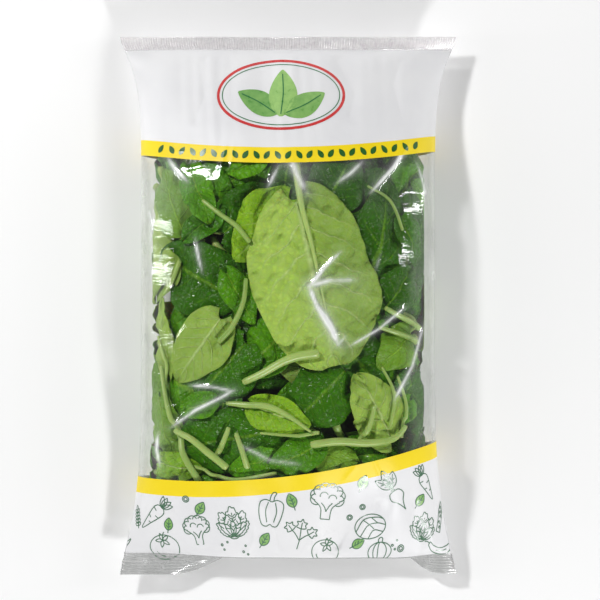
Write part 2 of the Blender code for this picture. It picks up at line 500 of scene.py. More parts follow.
def leaf(heap, base, tip, width, depth, rng, layers=None, under=0.0, tone=0.5, rows=34, columns=25, fold=0.08,
         ruffle=0.06, cup=0.10, tilt=(0.0, 0.0), swirl=0.0, form=(0.42, 0.70), crumple=0.7, painted_side_shade=0.0,
         least=0.7 * MM):
    """A spinach leaf laid in the heap, from its base to its tip, both (g, t) places on the girth.

    The outline's half width goes as along^a times (1 - along)^b with form (a, b). Heights over the
    leaf's own plane add up a fold along the midrib, a cup across, wavy margins, the swellings
    between side veins and a crumple in mm. The plane lies depth under the film, tilted, and
    nothing comes nearer to the film than least, or than the layers over it: there the leaf is
    pressed flat.
    """
    base, tip = np.asarray(base, float), np.asarray(tip, float)
    axis = tip - base
    length = np.hypot(*axis)
    axis = axis / length
    side = np.array([axis[1], -axis[0]])
    along, across = np.meshgrid(np.linspace(0.006, 0.994, rows), np.linspace(-1, 1, columns),
                                indexing="ij")
    rise, fall = form
    most = rise ** rise * fall ** fall / (rise + fall) ** (rise + fall)
    outline = along ** rise * (1.0 - along) ** fall / most
    wobble = 1.0 + 0.05 * np.sin(9.0 * along + rng.uniform(0, 6)) * np.sign(across)
    half = 0.5 * width * outline * wobble
    lobe = 0.10 * length * np.abs(across) ** 2 * (1.0 - along) ** 5
    phases = rng.uniform(0.0, 2.0 * math.pi, 4)
    left = across < 0.0
    beat = rng.uniform(1.7, 2.6)
    wave = np.sin(2.0 * math.pi * beat * along + np.where(left, phases[0], phases[1]))
    wave += 0.45 * np.sin(4.6 * math.pi * beat * along + np.where(left, phases[2], phases[3]))
    margin = np.abs(across) ** 2.2
    sway = swirl * length * np.sin(math.pi * along)
    run = length * along - lobe + 0.010 * length * margin * np.sin(
        7.0 * math.pi * along + phases[1])
    reach = half * across * (1.0 - 0.5 * fold) + sway

    vein = (along - VEIN_SLANT * 0.45 * np.abs(across) ** 1.2) * VEIN_PAIRS
    swell = np.abs(np.sin(math.pi * vein)) ** 0.7 * np.clip(np.abs(across) * 5.0, 0.0, 1.0)
    swell *= 1.0 - 0.6 * np.abs(across) ** 3
    turn = 1.0 - 2.0 * under
    height = turn * 0.017 * width * swell
    height -= turn * 0.012 * width * np.exp(-(across * outline / 0.06) ** 2)
    height += crumple * MM * np.sin(run / (3.2 * MM) + 1.8 * np.sin(4.0 * across + phases[2])) * np.sin(
        reach / (2.9 * MM) + 1.6 * np.sin(9.0 * along + phases[3]))
    height += 0.35 * crumple * MM * np.sin(run / (1.5 * MM) + 2.5 * np.sin(reach / (4.0 * MM) + phases[0]))
    height += fold * np.abs(reach - sway) * 2.0
    height += ruffle * width * wave * margin * outline ** 0.3
    height += cup * width * (0.25 - (along - 0.5) ** 2) - 0.08 * cup * width
    height += tilt[0] * (reach - sway) + tilt[1] * (run - 0.5 * length)

    g = base[0] + axis[0] * run + side[0] * reach
    t = base[1] + axis[1] * run + side[1] * reach
    t = np.clip(t, HEAP_BOTTOM - 8.0 * MM, HEAP_TOP + 12.0 * MM)
    sink = depth - height
    floor_depth = least + under_print(t)
    if layers is not None:
        floor_depth = np.maximum(floor_depth, layers.under(g, t) + 0.35 * MM)
    over = sink - floor_depth
    sink = floor_depth + 0.5 * (over + np.sqrt(over ** 2 + (0.5 * MM) ** 2))
    sink = np.minimum(sink, deepest(t))
    centre = bag_point(g, t, HEAP_SIDE_GAP)
    normal = bag_normal(g, t, HEAP_SIDE_GAP)
    thick = 0.42 * MM + 0.5 * MM * np.exp(-(across * outline / 0.05) ** 2) * (1.0 - along)
    if layers is not None:
        layers.lay(g, t, sink + thick)
    outer = centre - normal * sink[..., None]
    inner = centre - normal * (sink + thick)[..., None]
    points = np.concatenate([outer.reshape(-1, 3), inner.reshape(-1, 3)])
    flat = np.stack([0.5 + 0.5 * across, along], -1).reshape(-1, 2)
    unders = np.concatenate([np.full(flat.shape[0], under), np.full(flat.shape[0], 1.0 - under)])
    faces = shell_faces(rows, columns)
    if not facing_out(axis, side):
        faces = faces[:, ::-1]
    # painted shade: one half of the leaf is paler and the other darker
    tones = (tone + painted_side_shade * np.clip(across * 2.0, -1.0, 1.0)).ravel()
    heap.add(points, faces, np.concatenate([flat, flat]), np.concatenate([tones, tones]), unders)


def facing_out(axis, side):
    """Whether rows along axis and columns along side go round against the clock from outside."""
    return side[0] * axis[1] - side[1] * axis[0] > 0.0


def stem(heap, places, depths, radii, tone=0.5, rows=30, sides=10, layers=None, clear=0.8):
    """A stem through (g, t) places at given depths under the film, its radius easing along it. It
    keeps under the layers over it, and what is laid later keeps clear of it by that share of its
    radius under its middle."""
    path = spline(places, rows)
    path[:, 1] = np.clip(path[:, 1], HEAP_BOTTOM - 12.0 * MM, HEAP_TOP)
    depth = np.interp(np.linspace(0, 1, rows), np.linspace(0, 1, len(depths)), depths)
    radius = np.interp(np.linspace(0, 1, rows), np.linspace(0, 1, len(radii)), radii)
    centre = bag_point(path[:, 0], path[:, 1], HEAP_SIDE_GAP)
    normal = bag_normal(path[:, 0], path[:, 1], HEAP_SIDE_GAP)
    depth = np.maximum(depth, radius + 0.5 * MM + under_print(path[:, 1]))
    if layers is not None:
        depth = np.maximum(depth, layers.under(path[:, 0], path[:, 1]) + radius)
        depth = np.minimum(depth, deepest(path[:, 1]))
        across = np.linspace(-0.8, 0.8, 3)[None, :] * radius[:, None]
        layers.lay(path[:, :1] + across, path[:, 1:] + across,
                   np.repeat((depth + clear * radius)[:, None], 3, 1))
    tube(heap, centre - normal * depth[:, None], radius, normal, tone, sides, grooves=0.07)


def seen(x, y):
    """A (g, t) place from where it shows from above, in mm."""
    return np.array([float(girth_at(x * MM)), y * MM])


# Leaves that lie against the front film. Each: kind, base, tip, width, all in mm from above, then
# its layer, 0 against the film and each one lower, and how it lies: under 1 shows its underside.
FRONT_LEAVES = (
    ("pale", (6, 70), (34, -40), 84, 0, dict(under=1.0, fold=-0.03, ruffle=0.035, tone=0.72, sag=3.4,
                                            tilt=(0.02, 0.0), form=(0.42, 0.42), crumple=1.5, painted_side_shade=0.40,
                                            rows=96, columns=75)),
    ("pale", (2, 72), (-38, 30), 44, 1, dict(tone=0.80, ruffle=0.16, fold=0.10, crumple=1.4, rows=50,
                                            columns=37)),
    ("dark", (-40, 6), (-93, 36), 52, 4, dict(tone=0.40, ruffle=0.07, tilt=(-0.10, 0.05))),
    ("pale", (-84, 15), (-87, 39), 17, 0, dict(under=1.0, tone=0.35, ruffle=0.02, sag=1.0)),
    ("mid", (-76, 50), (-92, 92), 34, 2, dict(under=1.0, tone=0.25, ruffle=0.05)),
    ("dark", (-47, 48), (-6, 80), 40, 3, dict(tone=0.35, tilt=(0.10, 0.0))),
    ("pale", (-48, -8), (-80, -50), 40, 1, dict(under=1.0, tone=0.40, ruffle=0.06)),
    ("dark", (-30, -24), (-66, -62), 50, 3, dict(tone=0.62, fold=0.16, ruffle=0.05)),
    ("mid", (0, -14), (-34, -46), 38, 4, dict(tone=0.55, fold=0.10)),
    ("pale", (-26, -66), (16, -80), 30, 0, dict(tone=0.80, ruffle=0.22, fold=0.22, sag=4.5, crumple=1.2,
                                             rows=50, columns=33)),
    ("dark", (42, -42), (0, -80), 46, 3, dict(tone=0.55, fold=0.06, tilt=(0.08, 0.0))),
    ("dark", (-76, -95), (8, -80), 46, 2, dict(tone=0.60, fold=0.05, ruffle=0.05, rows=48,
                                             columns=31)),
    ("mid", (24, -92), (-14, -108), 26, 1, dict(tone=0.40)),
    ("pale", (77, -90), (50, -44), 42, 1, dict(under=1.0, tone=0.62, ruffle=0.20, fold=0.15, sag=5.0,
                                            crumple=1.8, rows=56, columns=41)),
    ("dark", (60, 2), (74, 84), 46, 2, dict(tone=0.30, fold=0.07, tilt=(0.08, 0.0))),
    ("dark", (88, 8), (90, 80), 42, 4, dict(tone=0.25, fold=0.10)),
    ("dark", (46, 46), (70, 92), 42, 5, dict(tone=0.30, fold=0.05)),
    ("dark", (71, -2), (90, 27), 30, 0, dict(tone=0.30, ruffle=0.04, sag=1.6)),
    ("pale", (-90, -46), (-93, 6), 20, 1, dict(under=1.0, tone=0.45, ruffle=0.08)),
    ("dark", (28, 68), (46, 100), 42, 3, dict(tone=0.25, ruffle=0.08)),
    ("mid", (-48, 66), (-74, 96), 36, 4, dict(tone=0.30, fold=0.12, ruffle=0.08)),
    ("mid", (92, -18), (64, -40), 30, 3, dict(tone=0.40, under=1.0)),
    ("dark", (40, -22), (72, -60), 44, 5, dict(tone=0.50, fold=0.10)),
    ("mid", (-20, 102), (-52, 74), 34, 5, dict(tone=0.28, fold=0.10)),
    ("dark", (4, 104), (-10, 62), 36, 6, dict(tone=0.30)),
    ("mid", (-94, -60), (-86, -104), 26, 3, dict(tone=0.35, under=1.0)),
    ("dark", (90, -46), (88, -98), 34, 3, dict(tone=0.40, fold=0.12)),
    ("mid", (34, -104), (72, -98), 30, 4, dict(tone=0.50, fold=0.10)),
    ("dark", (-66, 30), (-48, -22), 40, 7, dict(tone=0.45, fold=0.10)),
    ("dark", (-34, -128), (30, -112), 38, 4, dict(tone=0.50, fold=0.08)),
    ("mid", (-72, 94), (-56, 54), 25, 1, dict(tone=0.55, ruffle=0.20, fold=0.18, crumple=1.1)),
    ("dark", (-50, 64), (-76, 42), 22, 1, dict(tone=0.75, ruffle=0.14, fold=0.20)),
    ("mid", (-18, 98), (-44, 88), 20, 2, dict(tone=0.80, ruffle=0.16, fold=0.16)),
    ("mid", (-52, -62), (-78, -70), 20, 1, dict(tone=0.60, ruffle=0.16, fold=0.14)),
    ("pale", (-96, -104), (-62, -112), 20, 0, dict(tone=0.60, ruffle=0.20, fold=0.14, crumple=1.0)),
    ("mid", (-8, -100), (-44, -112), 22, 1, dict(tone=0.70, ruffle=0.18, fold=0.16)),
    ("mid", (14, -98), (52, -104), 22, 2, dict(tone=0.66, ruffle=0.18, fold=0.16, under=1.0)),
    ("mid", (90, -62), (72, -92), 20, 1, dict(tone=0.60, ruffle=0.18, fold=0.18)),
    ("dark", (84, 60), (94, 26), 22, 1, dict(tone=0.55, ruffle=0.10, fold=0.16)),
    ("mid", (40, 4), (74, -14), 24, 2, dict(tone=0.62, ruffle=0.12, fold=0.14)),
    ("mid", (-44, 22), (-24, -12), 22, 2, dict(tone=0.55, ruffle=0.14, fold=0.16)),
    ("mid", (44, -118), (96, -96), 36, 6, dict(tone=0.42, fold=0.10)),
    ("mid", (-96, -122), (-50, -112), 34, 4, dict(tone=0.50, fold=0.08)),
)
# Stems against the front film: places and depths in mm, then the radius at both ends
FRONT_STEMS = (
    (((6, 96), (7, 84), (10, 66), (17, 40), (24, 10), (30, -18)), (2.4, 2.0, 1.6, 1.5, 1.5, 1.6),
     (2.9, 2.7, 2.1, 1.5, 0.9, 0.4), 0.85),
    (((-62, 70), (-48, 60), (-36, 52), (-27, 42)), (4.6, 4.2, 4.4, 5.4), (1.4, 1.7, 1.9, 1.8), 0.55),
    (((-32, -50), (-18, -44), (-4, -37), (8, -33), (22, -31)), (3.4, 2.4, 2.2, 2.2, 2.8),
     (2.3, 2.6, 2.9, 3.2, 3.4), 0.80),
    (((-44, -64), (-30, -65), (-14, -66), (0, -72), (16, -83)), (3.8, 2.4, 2.0, 2.0, 2.4),
     (1.5, 2.2, 2.3, 1.8, 1.0), 0.75),
    (((-82, -83), (-70, -88), (-58, -97), (-44, -108)), (3.6, 2.6, 2.4, 3.0), (2.1, 2.5, 2.8, 2.9), 0.80),
    (((-42, -80), (-46, -90), (-52, -101)), (3.4, 2.4, 2.8), (1.5, 1.9, 2.1), 0.70),
    (((-37, -84), (-33, -95), (-29, -108)), (3.4, 2.6, 3.0), (1.7, 2.1, 2.3), 0.72),
    (((16, -92), (36, -90), (58, -91), (76, -88), (86, -80)), (3.2, 2.6, 2.4, 2.6, 3.6),
     (2.8, 3.0, 2.8, 2.4, 1.8), 0.72),
    (((-93, -40), (-88, -62), (-82, -82), (-74, -102), (-64, -118)), (3.2, 2.6, 2.6, 2.6, 3.4),
     (1.4, 1.9, 2.3, 2.6, 2.8), 0.62),
    (((70, -1), (82, -7), (97, -15)), (3.4, 3.0, 3.4), (1.6, 2.1, 2.4), 0.60),
    (((66, -14), (80, -18), (96, -24)), (4.4, 3.6, 3.8), (1.4, 1.9, 2.2), 0.55),
    (((-90, 8), (-84, 16), (-78, 30)), (3.2, 2.8, 3.4), (1.2, 1.5, 1.7), 0.60),
    (((-30, 18), (-32, 2), (-40, -14), (-50, -24)), (5.0, 4.2, 4.0, 4.6), (1.5, 1.8, 2.0, 2.0), 0.50),
    (((62, -66), (58, -80), (50, -94)), (4.0, 3.2, 3.8), (1.5, 1.9, 2.1), 0.68),
    (((80, -46), (86, -66), (84, -88)), (4.2, 3.4, 3.8), (1.1, 1.4, 1.5), 0.60),
    (((68, -40), (77, -58), (74, -80)), (4.6, 3.8, 4.2), (1.0, 1.3, 1.4), 0.55),
    (((-20, -84), (8, -86), (22, -84)), (3.6, 3.0, 3.8), (0.9, 1.3, 1.5), 0.62),
    (((-96, -20), (-90, -36), (-92, -52)), (3.6, 3.0, 3.8), (0.9, 1.3, 1.5), 0.66),
    (((-70, -108), (-40, -116), (-8, -112)), (3.6, 3.2, 4.0), (1.3, 1.8, 1.6), 0.70),
    (((58, 80), (74, 70), (84, 50)), (4.4, 3.8, 4.4), (0.9, 1.2, 1.3), 0.45),
)
DEEP_FRONT = 46           # leaves in the layers under those
ROUND_THE_REST = 78       # leaves along the sides and the back


STEM_CLEAR = 0.8                # radii below its middle at which a stem holds the leaves under it
MIDRIB_CLEAR = -0.1             # the first stem is the big leaf's midrib, which that leaf closes on
STEM_SHARE = 0.88               # of the radii in FRONT_STEMS


def front_leaves(heaps, stems, layers, rng):
    """The stems and leaves laid against the front film, from the film inwards."""
    for number, (places, depths, radii, tone) in enumerate(FRONT_STEMS):
        route = np.array([seen(*place) for place in places])
        clear = MIDRIB_CLEAR if number == 0 else STEM_CLEAR
        stem(stems, route, np.array(depths) * MM, STEM_SHARE * np.array(radii) * MM, tone, layers=layers,
             clear=clear)
    for kind, base, tip, width, _, how in sorted(FRONT_LEAVES, key=lambda row: row[4]):
        how = dict(how)
        sag = how.pop("sag", 2.4) * MM
        leaf(heaps[kind], seen(*base), seen(*tip), width * MM, 0.6 * MM + sag, rng, layers, **how)


def loose_leaf(heaps, stems, layers, rng, place, depth, size=1.0):
    """One leaf at a random turn, with its stem running on from its base."""
    turn = rng.uniform(0.0, 2.0 * math.pi)
    length = rng.uniform(48.0, 84.0) * MM * size
    width = length * rng.uniform(0.52, 0.78)
    ahead = np.array([math.cos(turn), math.sin(turn)])
    base = place - 0.5 * length * ahead
    tip = place + 0.5 * length * ahead
    kind = rng.choice(["dark", "dark", "mid", "mid", "pale"])
    under = 1.0 if kind == "pale" else float(rng.random() < 0.25)
    tilt = (rng.normal(0.0, 0.10), rng.normal(0.0, 0.07))
    leaf(heaps[kind], base, tip, width, depth, rng, layers, under=under, tone=rng.uniform(0.15, 0.7),
         rows=24, columns=17, fold=rng.uniform(0.02, 0.2), ruffle=rng.uniform(0.03, 0.11),
         tilt=tilt)
    if rng.random() < 0.6:
        run = rng.uniform(18.0, 42.0) * MM
        bend = rng.normal(0.0, 0.35)
        back = -ahead * run
        aside = np.array([-ahead[1], ahead[0]]) * run * bend
        places = [base + 0.25 * length * ahead, base, base + 0.5 * back + 0.3 * aside, base + back + aside]
        thick = rng.uniform(1.3, 2.4) * MM
        stem(stems, places, [depth + thick] * 4, [0.4 * thick, 0.8 * thick, thick, 1.15 * thick],
             rng.uniform(0.3, 0.8), rows=20, sides=8, layers=layers)


def loose_leaves(heaps, stems, layers, rng):
    """Leaves along the sides and the back, then the layers under the front, each laid from the
    film inwards."""
    for number in range(ROUND_THE_REST):
        g = rng.uniform(0.90, 3.10) * QUARTER
        t = rng.uniform(HEAP_BOTTOM, HEAP_TOP - 12.0 * MM)
        depth = 1.5 * MM + 4.0 * MM * number / ROUND_THE_REST
        loose_leaf(heaps, stems, layers, rng, np.array([g, t]), depth, size=0.9)
    for number in range(DEEP_FRONT):
        g = rng.uniform(-0.98, 0.98) * QUARTER
        t = rng.uniform(HEAP_BOTTOM - 14.0 * MM, HEAP_TOP - 8.0 * MM)
        loose_leaf(heaps, stems, layers, rng, np.array([g, t]), 3.0 * MM + 7.0 * MM * number / DEEP_FRONT)


def core(heap):
    """The middle of the heap, a dark body whose colour is painted shade for the depths between the leaves:
    the bag's form drawn in, with crumpled swellings all over.
    """
    rows, columns = 120, 150
    t = np.linspace(HEAP_BOTTOM - 12.0 * MM, HEAP_TOP + 4.0 * MM, rows)[:, None]
    g = np.linspace(-QUARTER, 3.0 * QUARTER, columns, endpoint=False)[None, :]
    centre = bag_point(g, t, HEAP_SIDE_GAP)
    normal = bag_normal(g, t, HEAP_SIDE_GAP)
    crumple = np.sin(g * 260.0 + 2.0 * np.sin(t * 190.0)) * np.sin(t * 230.0 + 1.6 * np.sin(g * 150.0))
    crumple = crumple + 0.6 * np.sin(g * 520.0 + t * 330.0 + 1.0)
    sink = 17.0 * MM - 2.2 * MM * crumple
    points = centre - normal * sink[..., None]
    spine = centre.mean(axis=1)
    points = np.concatenate([points.reshape(-1, 3), spine[:1], spine[-1:]])
    body = grid_faces(rows, columns, around=True)
    around = np.arange(columns)
    following = (around + 1) % columns
    last = (rows - 1) * columns
    low, high = np.full(columns, rows * columns), np.full(columns, rows * columns + 1)
    caps = np.concatenate([np.stack([following, around, low, low], -1),
                           np.stack([last + around, last + following, high, high], -1)])
    heap.add(points, np.concatenate([body, caps]))


# ---------------------------------------------------------------- the film
FRONT_COLUMNS, BACK_COLUMNS, FILM_ROWS = 216, 66, 322


def film_body(heap):
    """The film tube between the seals: rows of points round the girth, closed at both ends by
    quads between the front and the back, which all but meet there."""
    front = np.linspace(-QUARTER, QUARTER, FRONT_COLUMNS, endpoint=False)
    back = np.linspace(QUARTER, 3.0 * QUARTER, BACK_COLUMNS, endpoint=False)
    g = np.concatenate([front, back])[None, :]
    t = np.linspace(INNER_BOTTOM - 0.5 * MM, INNER_TOP + 0.5 * MM, FILM_ROWS)[:, None]
    points = bag_point(g, t, creases=film_creases)
    on_back = (g > QUARTER) * 1.0
    points[..., 2] += np.where(on_back > 0.0, -0.1, 0.1) * MM * (1.0 - fullness(t))
    height = print_height(points[..., 0], t + 0.0 * g)
    maps = np.stack([np.broadcast_to(g, height.shape), height], -1)
    columns = FRONT_COLUMNS + BACK_COLUMNS
    body = grid_faces(FILM_ROWS, columns, around=True)
    heap.add(points, body, maps, tone=haze_and_painted_glare(points[..., 0], t + 0.0 * g).ravel())
    return columns


# Milky patches of the film, partly cloudy film and partly painted sheen: place and reach in mm, and strength
HAZE_AND_SHEEN_PATCHES = (
    ((-84, 72), 20, 0.07),
    ((-92, 20), 12, 0.05),
    ((-92, -70), 10, 0.04),
    ((74, 78), 22, 0.04),
    ((92, 20), 12, 0.04),
    ((52, 98), 20, 0.05),
    ((10, 92), 14, 0.10),
    ((40, 8), 16, 0.05),
    ((88, -80), 12, 0.03),
)


# Milky veil along the sides, partly crumpled film and partly painted sheen
SIDE_HAZE_AND_SHEEN = 0.26


def haze_and_painted_glare(x, t):
    """How milky the film is: a thin even veil, bells round the patches, and the sides, where the empty film
    is crumpled; patches and sides are partly cloudy film and partly painted sheen. The sharp folds are
    whitened along their crests as painted highlights that stand in for their glare."""
    total = np.full(np.shape(x), 0.002)
    # painted highlight: the sharp folds are whitened along their crests in place of their glare
    for points, height, width in SHARP_FOLDS:
        total += ridge(x, t, points, 0.62 * height / MM, 0.50 * width)
        total += ridge(x, t, points, 0.12 * height / MM, 1.70 * width)
    for (cx, cy), reach, strength in HAZE_AND_SHEEN_PATCHES:
        gap = np.hypot(x - cx * MM, t - cy * MM) / (reach * MM)
        total += strength * np.exp(-gap ** 2)
    return total + SIDE_HAZE_AND_SHEEN * smooth_step(np.abs(x), FILLED_HALF - 7.0 * MM, FILLED_HALF - 1.0 * MM)


def seal_strip(heap, start, end, crimps_along_x, rows, columns):
    """A crimped seal: a closed strip of two sheets 0.5 mm apart that rise and fall together in
    fine ridges, with lines across the length on the bottom seal and along it on the top one."""
    g = np.linspace(-QUARTER, QUARTER, columns)[None, :]
    t = np.linspace(start, end, rows)[:, None]
    centre = bag_point(g, t)
    back = bag_point(2.0 * QUARTER - g, t)
    middle = 0.5 * (centre + back)
    around = bag_point(g + 1.0 * MM, t) - bag_point(g - 1.0 * MM, t)
    along = np.gradient(middle, axis=0)
    normal = np.cross(around, along)
    normal /= np.maximum(np.linalg.norm(normal, axis=-1, keepdims=True), 1e-12)
    along_seal = g if crimps_along_x else t
    pitch = 1.7 * MM if crimps_along_x else 2.1 * MM
    crimp = 0.22 * MM * np.sin(2.0 * math.pi * along_seal / pitch) * np.ones((rows, columns))
    fade = smooth_step(np.minimum(t - start, end - t), 0.0, 1.2 * MM)
    offset = (crimp * fade)[..., None] * normal
    wide = 1.0 + 0.0015 * np.sin(t * 900.0)
    middle[..., 0] *= wide
    outer = middle + offset + 0.22 * MM * normal
    inner = middle + offset - 0.22 * MM * normal
    for sheet in (outer, inner):
        sheet[..., 2] = np.maximum(sheet[..., 2], LEAST_HEIGHT)
    maps = np.stack([g + 0.0 * t, t + 0.0 * g], -1).reshape(-1, 2)
    heap.add(np.concatenate([outer.reshape(-1, 3), inner.reshape(-1, 3)]), shell_faces(rows, columns),
             np.concatenate([maps, maps]))


def back_seam(heap):
    """The lapped seam down the middle of the back: a flat strip 11 mm wide against the film."""
    rows, columns = 120, 7
    g = 2.0 * QUARTER + np.linspace(-5.5, 5.5, columns)[None, :] * MM
    t = np.linspace(INNER_BOTTOM + 1.0 * MM, INNER_TOP - 1.0 * MM, rows)[:, None]
    centre = bag_point(g, t)
    normal = bag_normal(g, t)
    outer = centre + normal * 0.30 * MM
    inner = centre + normal * 0.12 * MM
    maps = np.stack([g + 0.0 * t, print_height(centre[..., 0], t + 0.0 * g)], -1).reshape(-1, 2)
    heap.add(np.concatenate([outer.reshape(-1, 3), inner.reshape(-1, 3)]), shell_faces(rows, columns),
             np.concatenate([maps, maps]))


# ---------------------------------------------------------------- printed drawings, in mm
LINE = 0.62               # width of a printed line
DRAWING_SCALE = 1.15


def arc(cx, cy, rx, ry=None, start=0.0, end=360.0, count=25):
    """Points of an ellipse's arc, with angles in degrees."""
    angle = np.radians(np.linspace(start, end, count))
    ry = rx if ry is None else ry
    return np.stack([cx + rx * np.cos(angle), cy + ry * np.sin(angle)], -1)


def through(*points, count=None):
    """A smooth line through a few points."""
    return spline(points, count or 6 * len(points))


def turned(lines, angle, scale=1.0, move=(0.0, 0.0)):
    """Lines turned by an angle in degrees, scaled, then moved."""
    c, s = math.cos(math.radians(angle)), math.sin(math.radians(angle))
    turn = np.array([[c, s], [-s, c]])
    return [scale * np.asarray(line) @ turn + np.array(move) for line in lines]


def leaf_outline(length, width, count=17):
    """A pointed oval leaf from the origin upwards."""
    along = np.linspace(0.0, 1.0, count)
    half = 0.5 * width * np.sin(math.pi * along ** 0.85) ** 0.8
    right = np.stack([half, along * length], -1)
    left = np.stack([-half, along * length], -1)
    return np.concatenate([right, left[::-1]])


def drawn_leaf(length=9.0, width=6.0, veins=2):
    """A leaf with its midrib, a short stalk and a few side veins."""
    lines = [leaf_outline(length, width),
             through((0, -0.22 * length), (0.2, 0.4 * length), (0, 0.85 * length))]
    for k in range(veins):
        at = (0.22 + 0.24 * k) * length
        lines.append(np.array([(0, at), (0.26 * width, at + 0.15 * length)]))
        lines.append(np.array([(0, at), (-0.26 * width, at + 0.15 * length)]))
    return lines


def carrot():
    body = through((-2.6, 6.2), (-3.3, 3.4), (-2.2, -2.5), (0.0, -10.5), (2.2, -2.5), (3.3, 3.4), (2.6, 6.2),
                   (0.0, 7.3), (-2.6, 6.2), count=44)
    rings = [np.array([(-3.0, 3.6), (-0.8, 3.2)]), np.array([(2.7, 1.2), (0.7, 0.8)]),
             np.array([(-2.2, -1.6), (-0.4, -2.0)]), np.array([(1.5, -4.0), (0.2, -4.4)])]
    tops = []
    for angle in (-34, -12, 14, 36):
        tops += turned([leaf_outline(6.4, 2.6, 11)], angle, move=(0.0, 6.8))
    return [body] + rings + tops


def tomato():
    body = arc(0, 0, 7.2, 6.0, count=41)
    star = []
    for k in range(5):
        star += turned([leaf_outline(3.6, 1.5, 9)], 72.0 * k + 15, move=(0.0, 3.4))
    return [body, arc(0.4, -0.4, 5.2, 4.2, 200, 260, 9), through((0, 3.6), (0.5, 6.0), (1.4, 7.4))] + star


def pepper():
    body = through((0.0, 5.0), (3.0, 6.0), (5.8, 4.2), (5.6, -1.0), (3.8, -6.8), (1.6, -7.6), (0.0, -6.6),
                   (-1.8, -7.6), (-4.2, -6.4), (-5.8, -1.0), (-5.6, 4.2), (-3.0, 6.0), (0.0, 5.0), count=66)
    ribs = [through((-1.6, 4.8), (-2.6, 0.0), (-1.6, -5.6)), through((1.8, 4.8), (2.8, 0.0), (1.8, -5.4))]
    stalk = through((-1.0, 5.2), (-0.6, 8.0), (0.6, 10.0), (2.0, 9.6), (1.2, 7.6), (1.0, 5.2), count=24)
    return [body, stalk] + ribs


def frilly_head(bumps=8, radius=7.0, stalk=True):
    """A cloud of round bumps on a stalk, for broccoli and cauliflower."""
    lines = []
    for k in range(bumps):
        angle = math.radians(-20.0 + 220.0 * k / (bumps - 1))
        cx, cy = radius * 0.72 * math.cos(angle), 2.0 + radius * 0.55 * math.sin(angle)
        lines.append(arc(cx, cy, 2.5, 2.5, math.degrees(angle) - 95, math.degrees(angle) + 95, 13))
    lines.append(arc(-1.6, 2.4, 1.7, 1.7, 20, 200, 9))
    lines.append(arc(2.2, 1.4, 1.7, 1.7, 0, 180, 9))
    if stalk:
        lines.append(through((-5.6, 0.0), (-3.2, -2.0), (-2.2, -4.0), (-2.0, -8.0)))
        lines.append(through((5.6, 0.0), (3.2, -2.0), (2.2, -4.0), (2.0, -8.0)))
        lines.append(np.array([(-2.0, -8.0), (2.0, -8.0)]))
        lines.append(through((0.0, -4.6), (-0.8, -2.6), (-2.4, -0.8)))
        lines.append(through((0.0, -4.6), (1.0, -2.4), (2.4, -0.6)))
    return lines


def lettuce():
    """A head of long leaves fanned from one base."""
    lines = [through((3.4, -7.0), (1.4, -8.8), (-1.4, -8.8), (-3.4, -7.0))]
    for angle, length, width in ((0, 16.5, 9.0), (-26, 15.0, 8.0), (26, 15.0, 8.0), (-50, 11.5, 6.0),
                                 (50, 11.5, 6.0)):
        frill = leaf_outline(length, width, 60)
        frill = frill * (1.0 + 0.04 * np.sin(np.arange(len(frill)) * 0.62))[:, None]
        rib = [np.array([(0.0, 0.8), (0.0, 0.78 * length)])]
        for k in range(3):
            at = (0.30 + 0.17 * k) * length
            rib.append(np.array([(-0.22 * width, at + 0.10 * length), (0.0, at),
                                 (0.22 * width, at + 0.10 * length)]))
        lines += turned([frill] + (rib if abs(angle) < 50 else rib[:1]), angle, move=(0.0, -7.6))
    return lines


def cabbage():
    return [arc(0, 0, 8.4, 6.6, count=41), through((-8.0, -1.6), (-3.0, 4.2), (4.0, 4.4), (7.2, 3.2)),
            through((-6.0, -4.6), (-1.4, 0.6), (4.0, 1.2), (8.3, -0.4)),
            through((-2.0, -6.4), (1.6, -2.4), (6.4, -3.8)),
            through((-3.2, 3.8), (-0.6, 1.2), (1.8, -1.6)), through((1.2, 4.6), (2.6, 3.0), (4.2, 1.2))]


def radish():
    root = through((0.0, 1.4), (2.8, 0.8), (3.8, -2.4), (1.6, -5.4), (0.3, -8.6), (-0.2, -10.6), (-0.6, -8.6),
                   (-1.8, -5.4), (-3.8, -2.4), (-2.8, 0.8), (0.0, 1.4), count=54)
    lines = [root]
    for angle, length in ((-38, 9.0), (-6, 11.0), (28, 9.5)):
        lines += turned(drawn_leaf(length, 4.6, 2), angle, move=(0.0, 3.4))
    return lines


def parsley():
    lines = [through((0, -8), (0.4, -3), (0, 2)), through((0.2, -3.6), (-2.4, -0.8), (-4.0, 0.4)),
             through((0.2, -3.6), (2.6, -1.2), (4.2, 0.0))]
    for cx, cy, angle in ((0.0, 2.0, 0), (-4.0, 0.4, 48), (4.2, 0.0, -48)):
        lobes = through((0, 0), (-2.6, 0.8), (-2.0, 2.4), (-2.8, 3.8), (-1.0, 4.0), (0, 5.6), (1.0, 4.0),
                        (2.8, 3.8), (2.0, 2.4), (2.6, 0.8), (0, 0), count=50)
        lines += turned([lobes, np.array([(0, 0), (0, 3.6)])], angle, 0.9, (cx, cy))
    return lines


def asparagus():
    body = through((-1.6, -9.0), (-1.6, -2.0), (-2.0, 4.0), (-1.2, 8.0), (0.0, 10.4), (1.2, 8.0), (2.0, 4.0),
                   (1.6, -2.0), (1.6, -9.0), count=48)
    lines = [body, np.array([(-1.6, -9.0), (1.6, -9.0)])]
    for cx, cy in ((-0.2, 6.0), (0.9, 3.6), (-0.9, 2.6), (0.4, 0.6), (-0.4, -3.4), (0.5, -6.4)):
        lines.append(through((cx - 0.8, cy - 0.4), (cx, cy + 1.6), (cx + 0.8, cy - 0.4)))
    return lines


